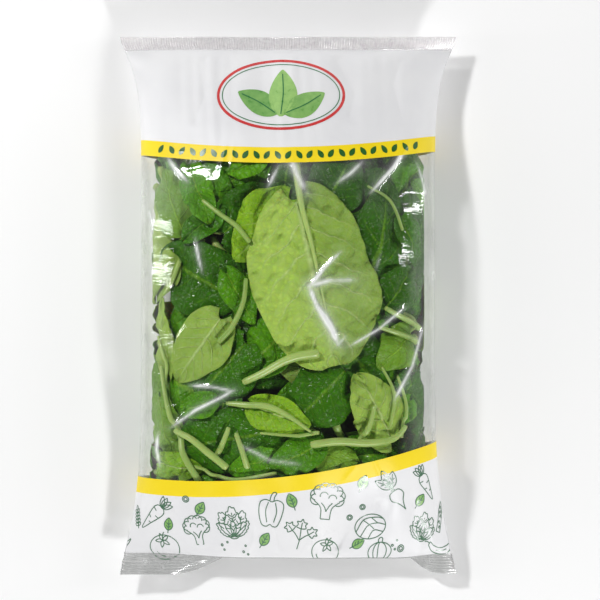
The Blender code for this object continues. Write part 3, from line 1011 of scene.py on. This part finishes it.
def chilli(fat=1.0):
    body = through((-8.4, 3.6), (-6.4, 0.4 - fat), (-1.0, -2.6 - fat), (4.6, -1.6 - fat), (9.4, 3.0),
                   (4.4, 0.8), (-1.0, 0.2), (-5.0, 2.6), (-6.8, 5.0), (-8.4, 3.6), count=54)
    return [body, through((-7.6, 4.4), (-8.8, 5.8), (-10.6, 6.2)),
            through((-4.0, -0.6), (0.0, -1.6), (3.0, -1.2))]


def pumpkin():
    lines = [arc(0, 0, 8.0, 6.0, count=41), arc(0, 0, 4.6, 6.0, 90, 270, 17),
             arc(0, 0, 4.6, 6.0, -90, 90, 17), arc(0, 0, 1.4, 6.0, 90, 270, 15)]
    lines.append(through((-1.2, 5.8), (-1.2, 7.8), (0.4, 9.2), (1.6, 8.2), (1.2, 5.8), count=22))
    return lines


def onion_ring(radius=2.6):
    return [arc(0, 0, radius, count=25), arc(0, 0, 0.55 * radius, count=19)]


def dots():
    return [arc(0, 0, 0.55, count=11), arc(3.2, 1.6, 0.45, count=11), arc(1.0, -2.6, 0.45, count=11)]


def sprig():
    lines = [through((0, -7), (0.3, 0), (0, 7))]
    for k in range(5):
        for side in (-1, 1):
            lines += turned([leaf_outline(3.4, 2.0, 9)], -58.0 * side, move=(0.0, -4.6 + 2.5 * k))
    return lines + turned([leaf_outline(3.8, 2.2, 9)], 0, move=(0.0, 6.6))


# The foot's drawings: what, where its middle is in mm from above, its turn in degrees and its scale
DRAWINGS = (
    (sprig, -105, -143, 12, 0.8), (carrot, -90, -140, -50, 1.1), (onion_ring, -66, -128, 0, 0.7),
    (drawn_leaf, -59, -138, -30, 0.9), (drawn_leaf, -80, -150, -10, 0.85), (frilly_head, -60, -149, 8, 1.05),
    (tomato, -84, -162, 6, 1.25), (lettuce, -36, -143, 4, 1.05), (pepper, -11, -136, -6, 1.15),
    (drawn_leaf, 4, -133, 20, 0.95), (drawn_leaf, -18, -158, -34, 0.9), (dots, -44, -158, 0, 1.0),
    (dots, -30, -162, 40, 1.0), (dots, 70, -158, 20, 1.0),
    (parsley, 8, -150, -12, 1.15), (frilly_head, 25, -129, -6, 1.3), (onion_ring, 40, -140, 0, 0.6),
    (tomato, 25, -162, -12, 1.1), (drawn_leaf, 46, -121, -20, 0.95), (onion_ring, 48, -133, 0, 0.6),
    (cabbage, 54, -146, 10, 1.05), (radish, 69, -124, 38, 1.1), (drawn_leaf, 43, -159, -60, 0.85),
    (pumpkin, 62, -162, 4, 0.85), (onion_ring, 76, -160, 0, 0.7), (lettuce, 91, -147, -8, 0.95),
    (carrot, 92, -119, 34, 1.0), (drawn_leaf, 85, -133, -34, 0.9), (asparagus, 107, -142, -20, 0.95),
    (chilli, 106, -162, 10, 1.0),
)


def ribbon(heap, line, middle, width, lift=0.16):
    """A printed line on the film: its points moved half its width to both sides, in mm about the
    (g, t) place of the drawing's middle, and lifted a little off the film."""
    line = np.asarray(line, float)
    ahead = np.gradient(line, axis=0)
    ahead /= np.maximum(np.linalg.norm(ahead, axis=1, keepdims=True), 1e-9)
    aside = np.stack([-ahead[:, 1], ahead[:, 0]], -1)
    edges = np.stack([line + 0.5 * width * aside, line - 0.5 * width * aside], axis=1)
    g = middle[0] + edges[..., 0] * MM
    t = middle[1] + edges[..., 1] * MM
    points = bag_point(g, t, creases=film_creases)
    normal = bag_normal(g, t, creases=film_creases)
    heap.add(points + normal * lift * MM, grid_faces(len(line), 2), np.stack([g, t], -1))


def blade(heap, length, width, angle, middle, move=(0.0, 0.0), lift=0.12, bend=0.0, tone=0.5):
    """A filled printed leaf: rows across its outline, bent to one side by a share of its length."""
    rows, columns = 22, 9
    along, across = np.meshgrid(np.linspace(0.01, 0.99, rows), np.linspace(-1, 1, columns), indexing="ij")
    half = 0.5 * width * np.sin(math.pi * along ** 0.85) ** 0.8
    flat = np.stack([half * across + bend * length * np.sin(math.pi * along), along * length], -1)
    flat = np.asarray(turned([flat.reshape(-1, 2)], angle, move=move)[0]).reshape(rows, columns, 2)
    g = middle[0] + flat[..., 0] * MM
    t = middle[1] + flat[..., 1] * MM
    points = bag_point(g, t, creases=film_creases) + bag_normal(g, t, creases=film_creases) * lift * MM
    maps = np.stack([0.5 + 0.5 * across, along], -1)
    heap.add(points, grid_faces(rows, columns), maps, tone)


def foot_drawings(lines, fills):
    """Every drawing of the foot, on the front and again half the girth round on the back."""
    for draw, x, y, angle, scale in DRAWINGS:
        limit = min(abs(x), 0.985 * QUARTER / MM) * math.copysign(1.0, x)
        spot = np.array([limit * MM, y * MM])
        for half_turn in (0.0, 2.0 * QUARTER):
            middle = spot + np.array([half_turn, 0.0])
            for line in turned(draw(), angle, scale * DRAWING_SCALE):
                ribbon(lines, line, middle, LINE)
            if draw is drawn_leaf:
                size = scale * DRAWING_SCALE
                blade(fills, 9.0 * size, 6.0 * size, angle, middle)


def header_emblem(fills, lines, ring):
    """A plain sprig of three leaves on the header inside a green ring and a wider red one."""
    middle = np.array([float(girth_at(-5.0 * MM)), 138.0 * MM])
    for length, width, angle, move, tone in ((33, 19, -2, (0, -13), 0.8), (31, 16, 60, (-2, -11), 0.35),
                                             (31, 16, -62, (2, -11), 0.5)):
        blade(fills, length, width, angle, middle, move, 0.14, 0.03, tone)
        rib = through((0, 0.06 * length), (0.03 * length, 0.5 * length), (0, 0.9 * length))
        ribbon(lines, turned([rib], angle, move=move)[0], middle, 0.7, 0.26)
    ribbon(ring, arc(0, 2.5, 42, 23.5, count=121), middle, 1.8)
    ribbon(lines, arc(0, 2.5, 39.2, 20.9, count=121), middle, 0.6)


def stripe_leaves(fills):
    """A row of small printed leaves along the upper stripe, leaning by turns."""
    for number, x in enumerate(np.arange(-86.0, 87.0, 7.2)):
        level = 0.5 * (UPPER_STRIPE[0] + UPPER_STRIPE[1]) / MM + 0.8 * (x * MM + 8.0 * MM) ** 2 / MM
        lean = 32.0 if number % 2 else -32.0
        start = (1.7 if number % 2 else -1.7, -2.6)
        blade(fills, 6.2, 3.4, lean, np.array([float(girth_at(x * MM)), level * MM]), start, 0.12, 0.0, 0.1)


# ---------------------------------------------------------------- materials
class Recipe:
    """Writes a material's nodes: each call adds one and links or sets its inputs."""

    def __init__(self, name):
        self.material = bpy.data.materials.new(name)
        self.material.use_nodes = True
        self.tree = self.material.node_tree
        self.tree.nodes.clear()

    def add(self, kind, inputs=None, **settings):
        node = self.tree.nodes.new("ShaderNode" + kind)
        for key, value in settings.items():
            setattr(node, key, value)
        for key, value in (inputs or {}).items():
            socket = node.inputs[key]
            if isinstance(value, bpy.types.NodeSocket):
                self.tree.links.new(value, socket)
            else:
                socket.default_value = value
        return node

    def math(self, operation, first, second=0.0, clamp=False):
        node = self.add("Math", {0: first, 1: second}, operation=operation, use_clamp=clamp)
        return node.outputs[0]

    def mix(self, share, first, second):
        node = self.add("Mix", {0: share, 6: first, 7: second}, data_type="RGBA")
        return node.outputs[2]

    def noise(self, vector, scale, detail=3.0, roughness=0.5, distortion=0.0):
        inputs = {"Vector": vector, "Scale": scale, "Detail": detail, "Roughness": roughness,
                  "Distortion": distortion}
        return self.add("TexNoise", inputs).outputs["Fac"]

    def span(self, value, low, high, new_low=0.0, new_high=1.0):
        """Value between low and high, spread over new_low to new_high and held inside them."""
        inputs = {0: value, 1: low, 2: high, 3: new_low, 4: new_high}
        return self.add("MapRange", inputs, clamp=True).outputs[0]

    def attribute(self, name):
        return self.add("Attribute", attribute_name=name).outputs["Fac"]

    def place(self):
        return self.add("TexCoord").outputs["Object"]

    def shape_map(self):
        node = self.add("UVMap", uv_map="shape")
        split = self.add("SeparateXYZ", {0: node.outputs[0]})
        return node.outputs[0], split.outputs[0], split.outputs[1]

    def bump(self, height, strength, distance, below=None):
        inputs = {"Height": height, "Strength": strength, "Distance": distance}
        if below is not None:
            inputs["Normal"] = below
        return self.add("Bump", inputs).outputs[0]

    def mirrored(self, normal, head_on):
        """The share of light that thin film mirrors: head_on seen square, and rising as the fifth
        power towards a grazing look, the same from either side."""
        facing = self.add("LayerWeight", {"Blend": 0.5, "Normal": normal}).outputs["Facing"]
        rise = self.math("MULTIPLY", self.math("POWER", facing, 5.0), 1.0 - head_on)
        return self.math("ADD", rise, head_on, clamp=True)

    def finish(self, shader):
        self.add("OutputMaterial", {"Surface": shader})
        return self.material


def leaf_material(name, upper, under, vein, gloss):
    """A fresh leaf: side veins that climb from the midrib, a fine net between them, blotches of lighter and
    darker green, painted shade in the dips between its puffs, a paler underside, and a soft uneven shine."""
    r = Recipe(name)
    place = r.place()
    _, across, along = r.shape_map()
    reach = r.math("ABSOLUTE", r.math("MULTIPLY", r.math("SUBTRACT", across, 0.5), 2.0))
    wander = r.math("MULTIPLY", r.math("SUBTRACT", r.noise(place, 60.0, 2.0), 0.5), 0.10)
    climb = r.math("MULTIPLY", r.math("POWER", reach, 1.2), VEIN_SLANT * 0.45)
    count = r.math("MULTIPLY", r.math("ADD", r.math("SUBTRACT", along, climb), wander), VEIN_PAIRS)
    to_vein = r.math("ABSOLUTE", r.math("SUBTRACT", r.math("FRACT", r.math("ADD", count, 0.5)), 0.5))
    side_vein = r.span(to_vein, 0.015, 0.085, 1.0, 0.0)
    side_vein = r.math("MULTIPLY", side_vein, r.span(reach, 0.55, 1.0, 1.0, 0.0))
    midrib = r.span(reach, 0.02, 0.075, 1.0, 0.0)
    midrib = r.math("MULTIPLY", midrib, r.span(along, 0.6, 1.0, 1.0, 0.2))
    bent = r.add("VectorMath", {0: place, 1: r.add("VectorMath", {
        0: r.add("TexNoise", {"Vector": place, "Scale": 150.0, "Detail": 1.0}).outputs["Color"],
        "Scale": 4.0 * MM}, operation="SCALE").outputs[0]}, operation="ADD").outputs[0]
    cells = r.add("TexVoronoi", {"Vector": bent, "Scale": 250.0}, feature="DISTANCE_TO_EDGE").outputs[0]
    net = r.span(cells, 0.0, 0.16, 1.0, 0.0)
    is_under = r.attribute("under")
    veins = r.math("MAXIMUM", midrib, r.math("MULTIPLY", side_vein, r.span(is_under, 0.0, 1.0, 0.38, 0.74)))
    net_share = r.span(is_under, 0.0, 1.0, 0.12, 0.24)
    veins = r.math("MAXIMUM", veins, r.math("MULTIPLY", net, net_share))

    tone = r.attribute("tone")
    blotch = r.noise(place, 38.0, 3.0, 0.55)
    lift = r.span(r.math("ADD", r.math("MULTIPLY", tone, 0.75), r.math("MULTIPLY", blotch, 0.5)), 0.1, 1.0)
    top_side = r.mix(lift, upper[0], upper[1])
    under_side = r.mix(lift, under[0], under[1])
    green = r.mix(is_under, top_side, under_side)
    colour = r.mix(r.math("MULTIPLY", veins, 0.8), green, vein)
    puffs = r.span(cells, 0.0, 0.45)
    # painted shade: the colour darkens towards the deepest green in the dips between the puffs
    shade = r.math("MULTIPLY", r.math("SUBTRACT", 1.0, puffs), r.span(is_under, 0.0, 1.0, 0.45, 0.32))
    colour = r.mix(shade, colour, r.mix(is_under, upper[0], under[0]))
    dents = r.noise(place, 130.0, 3.0, 0.55)
    rise = r.span(is_under, 0.0, 1.0, -0.5, 1.0)
    height = r.math("ADD", r.math("MULTIPLY", dents, 2.6), r.math("MULTIPLY", veins, rise))
    height = r.math("ADD", height, r.math("MULTIPLY", puffs, r.span(is_under, 0.0, 1.0, 0.6, 0.36)))
    normal = r.bump(height, 0.8, 1.1 * MM)
    rough = r.span(r.noise(place, 90.0, 2.0), 0.3, 0.7, gloss[0], gloss[1])
    shader = r.add("BsdfPrincipled", {"Base Color": colour, "Roughness": rough, "Normal": normal,
                                      "Subsurface Weight": 0.12, "Subsurface Scale": 2.0 * MM,
                                      "Specular IOR Level": 0.20})
    return r.finish(shader.outputs[0])


def stem_material():
    """Pale juicy stems: greener at one end, with faint lengthwise threads and a wet shine."""
    r = Recipe("stem_flesh")
    place = r.place()
    _, across, _ = r.shape_map()
    tone = r.attribute("tone")
    blotch = r.noise(place, 55.0, 3.0)
    share = r.span(r.math("ADD", r.math("MULTIPLY", tone, 0.8), r.math("MULTIPLY", blotch, 0.4)), 0.2, 1.05)
    colour = r.mix(share, linear(92, 140, 30), linear(192, 216, 126))
    threads = r.math("SINE", r.math("MULTIPLY", across, 44.0))
    height = r.math("ADD", r.math("MULTIPLY", threads, 0.3), r.noise(place, 240.0, 3.0))
    shader = r.add("BsdfPrincipled", {
        "Base Color": colour, "Roughness": r.span(blotch, 0.3, 0.7, 0.26, 0.42),
        "Normal": r.bump(height, 0.25, 0.4 * MM), "Subsurface Weight": 0.18,
        "Subsurface Scale": 2.5 * MM, "Specular IOR Level": 0.5})
    return r.finish(shader.outputs[0])


def core_painted_shade_material():
    """The heap's middle: deep leaf greens darkened as painted shade, in folded blotches."""
    r = Recipe("heap_shade")
    place = r.place()
    fold = r.noise(place, 85.0, 4.0, 0.6, 1.2)
    # painted shade: the inner leaves' greens darkened for the shade deep in the heap
    colour = r.mix(r.span(fold, 0.35, 0.7), linear(14, 30, 8), linear(52, 90, 26))
    shader = r.add("BsdfPrincipled", {"Base Color": colour, "Roughness": r.span(fold, 0.3, 0.8, 0.45, 0.7),
                                      "Normal": r.bump(fold, 0.6, 2.0 * MM)})
    return r.finish(shader.outputs[0])


def printed_shader(r, place, base):
    """Print on film: white or yellow ink with faint unevenness, and a glossy skin."""
    cloud = r.noise(place, 24.0, 3.0)
    white = r.mix(r.span(cloud, 0.35, 0.65), WHITE_PRINT, linear(230, 230, 231))
    yellow = r.mix(r.span(cloud, 0.35, 0.65), YELLOW_PRINT, linear(243, 217, 26))
    colour = r.mix(base, white, yellow)
    wrinkle = r.noise(place, 70.0, 4.0, 0.55, 0.6)
    return r.add("BsdfPrincipled", {"Base Color": colour, "Roughness": r.span(cloud, 0.3, 0.7, 0.42, 0.52),
                                    "Specular IOR Level": 0.35, "Normal": r.bump(wrinkle, 0.12, 0.6 * MM)})


def between(r, value, low, high):
    """1 where value lies between low and high."""
    above = r.math("GREATER_THAN", value, low)
    return r.math("MULTIPLY", above, r.math("LESS_THAN", value, high))


def film_material():
    """Thin clear film: see-through, with a mirror-like skin that grows towards grazing views, a milky veil
    where it is cloudy, which also carries painted highlights along the sharp folds and painted sheen in
    patches and at the sides, and white and yellow print above and below the window."""
    r = Recipe("clear_printed_film")
    place = r.place()
    _, _, height = r.shape_map()
    yellow = r.math("MAXIMUM", between(r, height, *UPPER_STRIPE), between(r, height, *LOWER_STRIPE))
    printed = r.math("MAXIMUM", r.math("GREATER_THAN", height, UPPER_STRIPE[0]),
                     r.math("LESS_THAN", height, LOWER_STRIPE[1]))
    ink = printed_shader(r, place, yellow)

    crinkle = r.noise(place, 95.0, 5.0, 0.6, 0.8)
    stretched = r.add("Mapping", {"Vector": place, "Rotation": (0.0, 0.0, 0.7), "Scale": (30.0, 110.0, 30.0)})
    streaks = r.noise(stretched.outputs[0], 1.0, 4.0, 0.55, 0.5)
    normal = r.bump(crinkle, 0.12, 0.7 * MM)
    normal = r.bump(streaks, 0.20, 1.2 * MM, normal)
    cloudy = r.span(r.noise(place, 45.0, 4.0, 0.6), 0.3, 0.7, 0.45, 1.5)
    # the veil carries painted highlights along the sharp folds and painted sheen in patches and at the sides
    veil = r.math("MULTIPLY", r.attribute("tone"), cloudy)
    clear = r.add("BsdfTransparent", {"Color": (0.985, 0.985, 0.98, 1.0)})
    milk = r.add("BsdfDiffuse", {"Color": linear(238, 240, 238), "Normal": normal})
    body = r.add("MixShader", {0: veil, 1: clear.outputs[0], 2: milk.outputs[0]})
    skin = r.add("BsdfGlossy", {"Color": (1.0, 1.0, 1.0, 1.0), "Roughness": 0.07, "Normal": normal})
    shine = r.mirrored(normal, 0.07)
    window = r.add("MixShader", {0: shine, 1: body.outputs[0], 2: skin.outputs[0]})
    whole = r.add("MixShader", {0: printed, 1: window.outputs[0], 2: ink.outputs[0]})
    return r.finish(whole.outputs[0])


def seal_material(name, milkiness, colour):
    """Crimped film, two layers welded: whitish where it is crazed, clearer between, glossy."""
    r = Recipe(name)
    place = r.place()
    craze = r.noise(place, 130.0, 5.0, 0.65, 0.4)
    clear = r.add("BsdfTransparent", {"Color": (0.96, 0.96, 0.96, 1.0)})
    milk = r.add("BsdfDiffuse", {"Color": colour})
    share = r.span(craze, 0.3, 0.7, milkiness[0], milkiness[1])
    body = r.add("MixShader", {0: share, 1: clear.outputs[0], 2: milk.outputs[0]})
    normal = r.bump(craze, 0.3, 0.4 * MM)
    skin = r.add("BsdfGlossy", {"Color": (1.0, 1.0, 1.0, 1.0), "Roughness": 0.12, "Normal": normal})
    shine = r.mirrored(normal, 0.07)
    whole = r.add("MixShader", {0: shine, 1: body.outputs[0], 2: skin.outputs[0]})
    return r.finish(whole.outputs[0])


def ink_material(name, thin, thick):
    """Flat printed ink with a little unevenness, as glossy as the film over it."""
    r = Recipe(name)
    place = r.place()
    spread = r.noise(place, 220.0, 3.0)
    tone = r.math("MULTIPLY", r.attribute("tone"), 0.8)
    share = r.math("ADD", tone, r.span(spread, 0.3, 0.7, -0.1, 0.2), clamp=True)
    shader = r.add("BsdfPrincipled", {"Base Color": r.mix(share, thick, thin),
                                      "Roughness": r.span(spread, 0.3, 0.7, 0.26, 0.36)})
    return r.finish(shader.outputs[0])


def floor_material():
    """A plain pale sweep."""
    r = Recipe("pale_floor")
    grain = r.noise(r.place(), 3.0, 2.0)
    colour = r.mix(grain, (0.94, 0.94, 0.94, 1.0), (0.96, 0.96, 0.96, 1.0))
    shader = r.add("BsdfPrincipled", {"Base Color": colour, "Roughness": 0.75, "Specular IOR Level": 0.1})
    return r.finish(shader.outputs[0])


# ---------------------------------------------------------------- putting it together
def build_contents():
    rng = np.random.default_rng(21)
    heaps = {"dark": Heap(), "mid": Heap(), "pale": Heap()}
    stems = Heap()
    layers = Layers()
    front_leaves(heaps, stems, layers, rng)
    loose_leaves(heaps, stems, layers, rng)
    vein = linear(206, 226, 150)
    finishes = {
        "dark": leaf_material("dark_leaf", (linear(13, 54, 0), linear(80, 152, 6)),
                              (linear(70, 112, 26), linear(126, 168, 46)), linear(122, 174, 36),
                              (0.20, 0.36)),
        "mid": leaf_material("mid_leaf", (linear(38, 98, 0), linear(114, 186, 8)),
                             (linear(88, 134, 34), linear(142, 184, 56)), linear(148, 194, 54), (0.22, 0.38)),
        "pale": leaf_material("pale_leaf", (linear(96, 148, 10), linear(160, 206, 36)),
                              (linear(106, 144, 48), linear(186, 217, 94)), vein, (0.34, 0.48)),
    }
    things = []
    for kind, heap in heaps.items():
        things.append(heap.piece("spinach_leaves_" + kind, finishes[kind]))
    things.append(stems.piece("spinach_stems", stem_material()))
    middle = Heap()
    core(middle)
    things.append(middle.piece("heap_core", core_painted_shade_material()))
    return things


def build_film():
    body = Heap()
    columns = film_body(body)
    last = (FILM_ROWS - 1) * columns
    body.faces.append(end_faces(columns, 0, True))
    body.faces.append(end_faces(columns, last, False))
    film = body.piece("printed_film", film_material())
    top, bottom, seam = Heap(), Heap(), Heap()
    seal_strip(top, INNER_TOP - 0.3 * MM, HALF_LENGTH, True, 14, 530)
    seal_strip(bottom, -HALF_LENGTH, INNER_BOTTOM + 0.3 * MM, False, 60, 120)
    back_seam(seam)
    pieces = [film]
    for weld, name, milkiness, colour in (
            (top, "top_seal", (0.30, 0.62), linear(240, 236, 238)),
            (bottom, "bottom_seal", (0.35, 0.85), linear(188, 189, 188)),
            (seam, "back_seam", (0.15, 0.35), linear(232, 232, 232))):
        pieces.append(weld.piece(name, seal_material(name + "_film", milkiness, colour)))
    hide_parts("spinach_bag")
    return pieces


def end_faces(columns, start, low_end):
    """Closes an end of the film tube: each front point joins the back point nearest below it."""
    share = np.arange(FRONT_COLUMNS + 1) / FRONT_COLUMNS
    back = (columns - np.round(share * BACK_COLUMNS).astype(int)) % columns
    front = np.arange(FRONT_COLUMNS + 1)
    a, b = front[:-1], front[1:]
    c, d = back[1:], back[:-1]
    faces = np.stack([a, b, c, d], -1) + start
    same = c == d
    faces[same, 3] = faces[same, 2]
    return faces[:, ::-1] if low_end else faces


def build_print():
    lines, fills, deep, ring, marks = Heap(), Heap(), Heap(), Heap(), Heap()
    foot_drawings(lines, fills)
    header_emblem(fills, deep, ring)
    stripe_leaves(marks)
    pieces = []
    for prints, name, ink, pale, full in (
            (lines, "drawn_lines", "line_ink", linear(78, 120, 92), GREEN_INK),
            (fills, "drawn_leaves", "leaf_ink", linear(168, 208, 120), linear(70, 140, 62)),
            (deep, "emblem_lines", "emblem_ink", linear(44, 124, 70), DEEP_INK),
            (ring, "emblem_ring", "ring_ink", linear(214, 70, 66), linear(196, 46, 50)),
            (marks, "stripe_leaves", "stripe_ink", linear(60, 120, 50), linear(34, 92, 40))):
        pieces.append(prints.piece(name, ink_material(ink, pale, full)))
    return pieces


def floor():
    mesh = bpy.data.meshes.new("floor")
    reach, level = 4.0, -0.3 * MM
    corners = [(-reach, -reach, level), (reach, -reach, level), (reach, reach, level), (-reach, reach, level)]
    mesh.from_pydata(corners, [], [(0, 1, 2, 3)])
    thing = bpy.data.objects.new("floor", mesh)
    bpy.context.scene.collection.objects.link(thing)
    mesh.materials.append(floor_material())


OVERHEAD_LIGHT, ROUND_LIGHT = 0.05, 0.90


def soft_box(name, place, size, power):
    """A rectangular lamp aimed at the bag's middle."""
    lamp = bpy.data.lights.new(name, "AREA")
    lamp.shape = "RECTANGLE"
    lamp.size, lamp.size_y = size
    lamp.energy = power
    thing = bpy.data.objects.new(name, lamp)
    bpy.context.scene.collection.objects.link(thing)
    thing.location = place
    aim = Vector((0.0, 0.0, 0.03)) - Vector(place)
    thing.rotation_euler = aim.to_track_quat("-Z", "Y").to_euler()


def lights():
    """A room that is dark overhead and bright all round low down, so that the level film stays
    clear, and strips near the level of the bag, which only the film's steep folds mirror."""
    world = bpy.data.worlds.new("pale_room")
    bpy.context.scene.world = world
    world.use_nodes = True
    nodes, links = world.node_tree.nodes, world.node_tree.links
    split = nodes.new("ShaderNodeSeparateXYZ")
    links.new(nodes.new("ShaderNodeTexCoord").outputs["Generated"], split.inputs[0])
    fall = nodes.new("ShaderNodeMapRange")
    fall.interpolation_type = "SMOOTHSTEP"
    for socket, value in zip(range(1, 5), (0.62, 0.30, OVERHEAD_LIGHT, ROUND_LIGHT)):
        fall.inputs[socket].default_value = value
    links.new(split.outputs[2], fall.inputs[0])
    links.new(fall.outputs[0], nodes["Background"].inputs[1])
    nodes["Background"].inputs[0].default_value = (1.0, 1.0, 1.0, 1.0)
    soft_box("key_box", (-0.80, 0.85, 1.25), (0.16, 0.16), 16.5)
    soft_box("foot_box", (0.60, -1.45, 0.95), (0.16, 0.16), 17.5)
    soft_box("left_strip", (-1.35, 0.10, 0.46), (0.05, 1.2), 3.0)
    soft_box("right_strip", (1.35, 0.20, 0.46), (0.05, 1.2), 4.5)


def camera():
    """Straight above, a long way up, the bag's top towards the frame's top."""
    lens = bpy.data.cameras.new("camera")
    thing = bpy.data.objects.new("camera", lens)
    bpy.context.scene.collection.objects.link(thing)
    bpy.context.scene.camera = thing
    height, view = 2.0, 0.4005
    middle = 0.5 * THICKNESS
    lens.sensor_width = 36.0
    lens.lens = 36.0 * (height - middle) / view
    thing.location = (8.0 * MM, 4.0 * MM, height)
    thing.rotation_euler = (0.0, 0.0, 0.0)


build_contents()
build_film()
build_print()
floor()
lights()
camera()
bpy.context.scene.view_settings.view_transform = "Standard"
